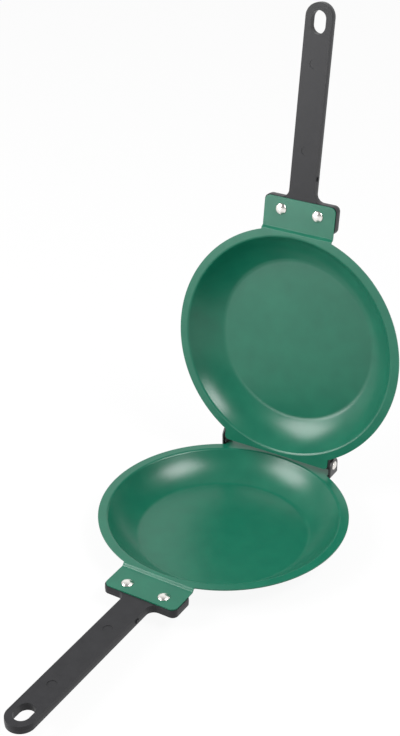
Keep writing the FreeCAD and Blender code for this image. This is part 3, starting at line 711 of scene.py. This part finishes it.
def makeRivetTree():
    # A rivet about Z: domed head above the origin, shank down through the grip, spread tail.
    tree, size, names = newTree("domedRivet", [
        ("Places", "Geometry"), ("Head radius", "Float"), ("Head height", "Float"),
        ("Head edge", "Float"), ("Shank radius", "Float"), ("Grip", "Float"),
        ("Tail radius", "Float"), ("Tail height", "Float"), ("Tail round share", "Float"),
        ("Dome steps", "Int"), ("Steps around", "Int"), ("Material", "Material")])
    known = {label: size[label] for label in names}
    known["point"] = addNode(tree, "GeometryNodeInputIndex").outputs[0]
    # The dome is part of a sphere, and each line below is one sum on what is known by then.
    for label, operation, *values in [
        ("rise", "SUBTRACT", "Head height", "Head edge"),
        ("radiusSquared", "POWER", "Head radius", 2.0),
        ("riseSquared", "POWER", "rise", 2.0),
        ("squares", "ADD", "radiusSquared", "riseSquared"),
        ("twiceRise", "MULTIPLY", "rise", 2.0),
        ("sphereRadius", "DIVIDE", "squares", "twiceRise"),
        ("widestSine", "DIVIDE", "Head radius", "sphereRadius"),
        ("widestLean", "ARCSINE", "widestSine"),
        ("share", "DIVIDE", "point", "Dome steps"),
        ("lean", "MULTIPLY", "share", "widestLean"),
        ("sine", "SINE", "lean"),
        ("across", "MULTIPLY", "sine", "sphereRadius"),
        ("cosine", "COSINE", "lean"),
        ("fall", "SUBTRACT", 1.0, "cosine"),
        ("drop", "MULTIPLY", "fall", "sphereRadius"),
        ("height", "SUBTRACT", "Head height", "drop"),
        ("domePoints", "ADD", "Dome steps", 1.0),
        ("gripEnd", "MULTIPLY", "Grip", -1.0),
        ("tailEnd", "SUBTRACT", "gripEnd", "Tail height"),
        ("tailRound", "MULTIPLY", "Tail height", "Tail round share"),
    ]:
        inputs = {i: known.get(value, value) for i, value in enumerate(values)}
        made = addNode(tree, "ShaderNodeMath", {"operation": operation}, inputs)
        known[label] = made.outputs[0]
    line = addNode(tree, "GeometryNodeMeshLine", None, {"Count": known["domePoints"]})
    spot = addNode(tree, "ShaderNodeCombineXYZ", None, {
        "X": known["across"], "Z": known["height"]})
    domeLine = addNode(tree, "GeometryNodeSetPosition", None, {
        "Geometry": line.outputs[0], "Position": spot.outputs[0]})
    dome = addNode(tree, "GeometryNodeMeshToCurve", None, {"Mesh": domeLine.outputs[0]})
    below = cornerCurve(tree, [
        (known["Head radius"], known["Head edge"]),
        (known["Head radius"], 0.0),
        (known["Shank radius"], 0.0),
        (known["Shank radius"], known["gripEnd"]),
        (known["Tail radius"], known["gripEnd"]),
        (known["Tail radius"], known["tailEnd"]),
        (0.0, known["tailEnd"]),
    ], [0.0, 0.0, 0.0, 0.0, 0.0, known["tailRound"], 0.0], rivetEdgeSteps)
    joined = addNode(tree, "GeometryNodeJoinGeometry")
    for profile in (dome.outputs[0], below):
        turned = addNode(tree, "GeometryNodeGroup", {"node_tree": turnTree}, {
            "Profile": profile, "Steps around": known["Steps around"]})
        tree.links.new(turned.outputs[0], joined.inputs[0])
    whole = addNode(tree, "GeometryNodeMergeByDistance", None, {
        "Geometry": joined.outputs[0], "Distance": weldDistance})
    finishTree(tree, onPoints(tree, known["Places"], whole.outputs[0]), known["Material"])
    return tree, names


def makeWasherTree():
    # A flat ring washer about Z lying below the origin, its edges broken by the press.
    tree, size, names = newTree("ringWasher", [
        ("Places", "Geometry"), ("Outer radius", "Float"), ("Hole radius", "Float"),
        ("Thickness", "Float"), ("Edge round", "Float"), ("Steps around", "Int"),
        ("Material", "Material")])
    under = addNode(tree, "ShaderNodeMath", {"operation": "MULTIPLY"}, {
        0: size["Thickness"], 1: -1.0}).outputs[0]
    middle = addNode(tree, "ShaderNodeMath", {"operation": "MULTIPLY"}, {
        0: size["Thickness"], 1: -0.5}).outputs[0]
    hole, outer, edge = size["Hole radius"], size["Outer radius"], size["Edge round"]
    profile = cornerCurve(
        tree,
        [(hole, middle), (hole, 0.0), (outer, 0.0), (outer, under), (hole, under), (hole, middle)],
        [0.0, edge, edge, edge, edge, 0.0], washerEdgeSteps)
    turned = addNode(tree, "GeometryNodeGroup", {"node_tree": turnTree}, {
        "Profile": profile, "Steps around": size["Steps around"]})
    finishTree(tree, onPoints(tree, size["Places"], turned.outputs[0]), size["Material"])
    return tree, names


def placeMesh(spots):
    # A mesh of loose points, each with the direction that its piece's Z takes.
    mesh = bpy.data.meshes.new("places")
    mesh.from_pydata([spot for spot, aim in spots], [], [])
    attribute = mesh.attributes.new("aim", "FLOAT_VECTOR", "POINT")
    for i, (spot, aim) in enumerate(spots):
        attribute.data[i].vector = aim
    return mesh


rivetTree = makeRivetTree()
washerTree = makeWasherTree()
for level in ("lower", "upper"):
    up = places[level].to_3x3() @ Vector((0, 0, 1))
    for name, madeBy, sizes, material, slot, replaced, height in (
        ("Rivets", rivetTree, handleRivetSizes, nickelPlate, "nickel_rivet", "rivet", tabTop),
        ("Washers", washerTree, handleWasherSizes, zincPlate, "zinc_washer", "washer", handleUnder),
    ):
        spots = []
        for side in (-1, 1):
            spot = Vector((side * rivetPattern["offset"], -rivetPattern["reach"], height))
            spots.append((places[level] @ spot, up))
        pair = grown(*madeBy, {**sizes, "Material": material}, placeMesh(spots))
        finishPiece(level + "Handle" + name, pair, lowerPlace, material, level,
                    [f"{level}_handle_{replaced}_{side}" for side in ("left", "right")])
print("handle rivets made")


# Hinge

hingeSizes = {
    "bracketGauge": 1.2,
    "bendRadius": 1.1,  # to the middle of the sheet
    "bendSteps": 8,
    "edgeRound": 0.18,
    "cornerRound": 2.0,
    "footInner": 29.0,
    "footFront": 80.0,
    "wallRadius": 90.0,  # the foot keeps this far from the pan's middle, clear of the wall
    "wallSteps": 14,
    "lugRadius": 6.0,
    "lugSteps": 24,
    "lowerEarMiddle": 48.55,
    "reliefRun": 0.6,  # the foot's front ends this far before the fold
    "reliefRound": 0.4,
    "upperEarMiddle": 46.9,
    "upperFootRear": 91.3,
    "earFrontHeight": 3.0,
    "earCornerRound": 1.0,
    "flankRound": 3.0,
    "heelHalfWidth": 6.0,
    "heelFrontRound": 2.0,
    "heelRound": 1.0,
    "stopReach": 8.3,
    "stopSteps": 10,
    "stopEndRound": 0.3,
    "foldMargin": 0.3,  # between the fold and the end of the stop's arc
}
pinFace = 49.15  # from the middle to the outer side of the lower ear
pinSizes = {
    "Head radius": 3.5,
    "Head height": 1.5,
    "Head edge": 0.3,
    "Shank radius": 2.0,
    "Grip": 2.95,
    "Tail radius": 3.0,
    "Tail height": 0.9,
    "Tail round share": 0.4,
    "Dome steps": 8,
    "Steps around": 40,
}
washerFace = 47.95  # from the middle to the inner side of the lower ear
hingeWasherSizes = {
    "Outer radius": 4.6,
    "Hole radius": 2.05,  # a little more than the pin's shank
    "Thickness": 0.4,
    "Edge round": 0.08,
    "Steps around": 40,
}
footHeight = panSizes["panDepth"] - hingeSizes["bracketGauge"] / 2


def bentSheet(outline, foldStart, upwards, side):
    # Folds a flat pattern (distance out from the middle, y) into a foot and an upright ear.
    bend, steps = hingeSizes["bendRadius"], hingeSizes["bendSteps"]
    foldLength = bend * math.pi / 2
    work = bmesh.new()
    fillLoops(work, addLoop(work, outline, 0.0)[1], True)
    for k in range(steps + 1):
        everything = list(work.verts) + list(work.edges) + list(work.faces)
        bmesh.ops.bisect_plane(
            work, geom=everything, plane_co=(foldStart + foldLength * k / steps, 0, 0),
            plane_no=(1, 0, 0), dist=cutTolerance)
    sign = 1 if upwards else -1
    for vert in work.verts:
        out = vert.co.x - foldStart
        turn = min(max(out, 0.0), foldLength) / bend
        past = max(out - foldLength, 0.0)
        x = min(vert.co.x, foldStart) + bend * math.sin(turn)
        vert.co = (side * x, vert.co.y, footHeight + sign * (bend * (1 - math.cos(turn)) + past))
    bmesh.ops.recalc_face_normals(work, faces=work.faces)
    return asMesh(work, "bracket")


def footCorners(foldStart, rear, frontRound):
    # The foot's inner side of the pattern: round the dished wall, then out to the fold.
    s = hingeSizes
    inner, front, wall = s["footInner"], s["footFront"], s["wallRadius"]
    arc = arcPoints(0, 0, wall, math.acos(inner / wall), math.asin(front / wall), s["wallSteps"])
    return [(inner, rear, s["cornerRound"])] + arc + [
        (foldStart - s["reliefRun"], front, frontRound)]


def lowerBracketOutline(foldStart):
    s = hingeSizes
    pin, lugRadius = pivotSizes["reach"], s["lugRadius"]
    lugOut = foldStart + s["bendRadius"] * (math.pi / 2 - 1) + pivotSizes["height"] - footHeight
    lug = arcPoints(lugOut, pin, lugRadius, -math.pi / 2, math.pi / 2, s["lugSteps"])
    return roundedPath(
        footCorners(foldStart, pin + lugRadius, s["cornerRound"])
        + [(foldStart - s["reliefRun"], pin - lugRadius, s["reliefRound"])] + lug)


def upperBracketOutline(foldStart):
    # The ear ends in a lug on the pin whose heel meets the lower foot when the pan is open.
    s = hingeSizes
    pin = pivotSizes["reach"]
    pinHeight = 2 * flangeTop + pivotSizes["closedGap"] - pivotSizes["height"]
    lean = math.radians(pivotSizes["openAngle"])
    base = foldStart + s["bendRadius"] * (math.pi / 2 - 1) + footHeight

    def fromPin(along, across):
        y = pin + along * math.sin(lean) + across * math.cos(lean)
        z = pinHeight + along * math.cos(lean) - across * math.sin(lean)
        return base - z, y

    top = footHeight - s["bendRadius"] - s["foldMargin"]
    startOut, startY = fromPin(s["stopReach"], 0)
    endY = pin + math.sqrt(s["stopReach"] ** 2 - (top - pinHeight) ** 2)
    startAngle = math.atan2(startY - pin, startOut - (base - pinHeight))
    endAngle = math.atan2(endY - pin, pinHeight - top)
    stop = arcPoints(base - pinHeight, pin, s["stopReach"], startAngle, endAngle, s["stopSteps"])
    flank = s["lugRadius"] * math.sin(math.pi / 4)
    heel = s["heelHalfWidth"]
    earFront = base - (panSizes["panDepth"] - s["earFrontHeight"])
    return roundedPath(footCorners(foldStart, s["upperFootRear"], 0) + [
        (earFront, s["footFront"], s["earCornerRound"]),
        (*fromPin(-flank, flank), s["flankRound"]),
        (*fromPin(0, heel), s["heelFrontRound"]),
        (*fromPin(s["stopReach"], heel), s["heelRound"]),
    ] + stop + [(base - top, s["upperFootRear"], s["stopEndRound"])])


bracketFinish = sheetFinish(hingeSizes["bracketGauge"], 0.0, hingeSizes["edgeRound"])
for sideName, side in (("left", -1), ("right", 1)):
    for level, makeOutline, mirrored in (
        ("lower", lowerBracketOutline, side), ("upper", upperBracketOutline, -side),
    ):
        foldStart = hingeSizes[level + "EarMiddle"] - hingeSizes["bendRadius"]
        bracket = bentSheet(makeOutline(foldStart), foldStart, level == "lower", mirrored)
        finishPiece(level + "HingeBracket" + sideName.title(), bracket, places[level], hingePaint,
                    level, [level + "_hinge_bracket_" + sideName],
                    bracketFinish)

for name, madeBy, sizes, material, slot, replaced, face in (
    ("hingePins", rivetTree, pinSizes, nickelPlate, "nickel_rivet", "hinge_pin", pinFace),
    ("hingeWashers", washerTree, hingeWasherSizes, zincPlate, "zinc_washer", "hinge_washer",
     washerFace),
):
    spots = [(Vector((side * face, pinPoint.y, pinPoint.z)), Vector((side, 0, 0)))
             for side in (-1, 1)]
    pair = grown(*madeBy, {**sizes, "Material": material}, placeMesh(spots))
    finishPiece(name, pair, lowerPlace, material, "lower",
                [replaced + "_left", replaced + "_right"])
print("hinge made")


# Camera

cameraSetup = {
    "place": (0.44786, -0.77015, 0.64843),
    "turn": (61.3774, 0.9438, 32.1362),  # degrees
    "lens": 69.67,
    "sensorWidth": 36.0,
    "shiftX": 0.0416,
    "shiftY": -0.0277,
    "clipStart": 0.01,
}
cameraData = bpy.data.cameras.new("photoCamera")
cameraData.lens = cameraSetup["lens"]
cameraData.sensor_width = cameraSetup["sensorWidth"]
cameraData.shift_x = cameraSetup["shiftX"]
cameraData.shift_y = cameraSetup["shiftY"]
cameraData.clip_start = cameraSetup["clipStart"]
camera = bpy.data.objects.new("photoCamera", cameraData)
camera.location = cameraSetup["place"]
camera.rotation_euler = [math.radians(a) for a in cameraSetup["turn"]]
bpy.context.scene.collection.objects.link(camera)
bpy.context.scene.camera = camera


# Floor, world and lights

stageSetup = {
    "floorColour": "#B4B4B4",
    "floorHalf": 6.0,
    "whiteShare": 0.88,  # how far the floor looks plain white, the rest shows its shadows
    "whiteLight": 1.05,
    "roomLight": 0.25,
    "backdropLight": 1.1,
    "backdropSide": (-0.25, 0.9, 0.35),
    "backdropEdges": (0.2, 0.8),  # how squarely a direction faces the backdrop
    "horizonLight": 1.0,
    "horizonEdges": (0.12, 0.3),  # how far a direction rises
}


def makeFloorMaterial():
    # Matt grey paper, which is near white wherever the camera or a mirrored ray meets it.
    material, tree = newMaterial("studioFloor")
    ray = addNode(tree, "ShaderNodeLightPath")
    seen = addNode(tree, "ShaderNodeMath", {"operation": "MAXIMUM"}, {
        0: ray.outputs["Is Camera Ray"], 1: ray.outputs["Is Glossy Ray"]})
    seen = addNode(tree, "ShaderNodeMath", {"operation": "MAXIMUM"}, {
        0: seen.outputs[0], 1: ray.outputs["Is Transmission Ray"]})
    share = addNode(tree, "ShaderNodeMath", {"operation": "MULTIPLY"}, {
        0: seen.outputs[0], 1: stageSetup["whiteShare"]})
    matt = addNode(tree, "ShaderNodeBsdfDiffuse", None, {
        "Color": linearColour(stageSetup["floorColour"])})
    white = addNode(tree, "ShaderNodeEmission", None, {
        "Color": (1, 1, 1, 1), "Strength": stageSetup["whiteLight"]})
    both = addNode(tree, "ShaderNodeMixShader", None, {
        0: share.outputs[0], 1: matt.outputs[0], 2: white.outputs[0]})
    addNode(tree, "ShaderNodeOutputMaterial", None, {"Surface": both.outputs[0]})
    return material


half = stageSetup["floorHalf"]
floorMesh = bpy.data.meshes.new("studioFloor")
floorMesh.from_pydata(
    [(-half, -half, 0), (half, -half, 0), (half, half, 0), (-half, half, 0)], [], [(0, 1, 2, 3)])
floorMesh.materials.append(makeFloorMaterial())
studioFloorPiece = bpy.data.objects.new("studioFloor", floorMesh)
bpy.context.scene.collection.objects.link(studioFloorPiece)

# A dim room with one bright side behind the pan and a bright band along the horizon.
world = bpy.data.worlds.new("studioWorld")
world.use_nodes = True
tree = world.node_tree
tree.nodes.clear()
sky = addNode(tree, "ShaderNodeTexCoord")
facing = addNode(tree, "ShaderNodeVectorMath", {"operation": "DOT_PRODUCT"}, {
    0: sky.outputs["Generated"], 1: stageSetup["backdropSide"]})
skyParts = addNode(tree, "ShaderNodeSeparateXYZ", None, {0: sky.outputs["Generated"]})
backSide = addNode(tree, "ShaderNodeMapRange", None, {
    "Value": facing.outputs["Value"],
    "From Min": stageSetup["backdropEdges"][0],
    "From Max": stageSetup["backdropEdges"][1],
    "To Min": stageSetup["roomLight"],
    "To Max": stageSetup["backdropLight"],
})
horizon = addNode(tree, "ShaderNodeMapRange", None, {
    "Value": skyParts.outputs["Z"],
    "From Min": stageSetup["horizonEdges"][0],
    "From Max": stageSetup["horizonEdges"][1],
    "To Min": stageSetup["horizonLight"],
    "To Max": stageSetup["roomLight"],
})
skyLight = addNode(tree, "ShaderNodeMath", {"operation": "MAXIMUM"}, {
    0: backSide.outputs["Result"], 1: horizon.outputs["Result"]})
backdrop = addNode(tree, "ShaderNodeBackground", None, {
    "Color": (1, 1, 1, 1), "Strength": skyLight.outputs[0]})
addNode(tree, "ShaderNodeOutputWorld", None, {"Surface": backdrop.outputs[0]})
bpy.context.scene.world = world

lamps = {
    "leftSoftbox": {
        "place": (-0.97, -0.81, 1.0), "aim": (0, 0.05, 0.1), "size": (0.9, 0.7), "power": 21.0},
    "rightSoftbox": {
        "place": (0.92, -0.03, 1.18), "aim": (0, 0, 0.05), "size": (0.7, 0.6), "power": 17.0},
    "frontSoftbox": {
        "place": (-1.05, -1.35, 0.33), "aim": (0, 0, 0.2), "size": (0.9, 0.5), "power": 13.0},
}
for name, setup in lamps.items():
    light = bpy.data.lights.new(name, "AREA")
    light.shape = "RECTANGLE"
    light.size, light.size_y = setup["size"]
    light.energy = setup["power"]
    lamp = bpy.data.objects.new(name, light)
    lamp.location = setup["place"]
    towards = Vector(setup["aim"]) - Vector(setup["place"])
    lamp.rotation_euler = towards.to_track_quat("-Z", "Y").to_euler()
    bpy.context.scene.collection.objects.link(lamp)

bpy.context.scene.view_settings.view_transform = "Standard"
print("camera, floor and lights made")
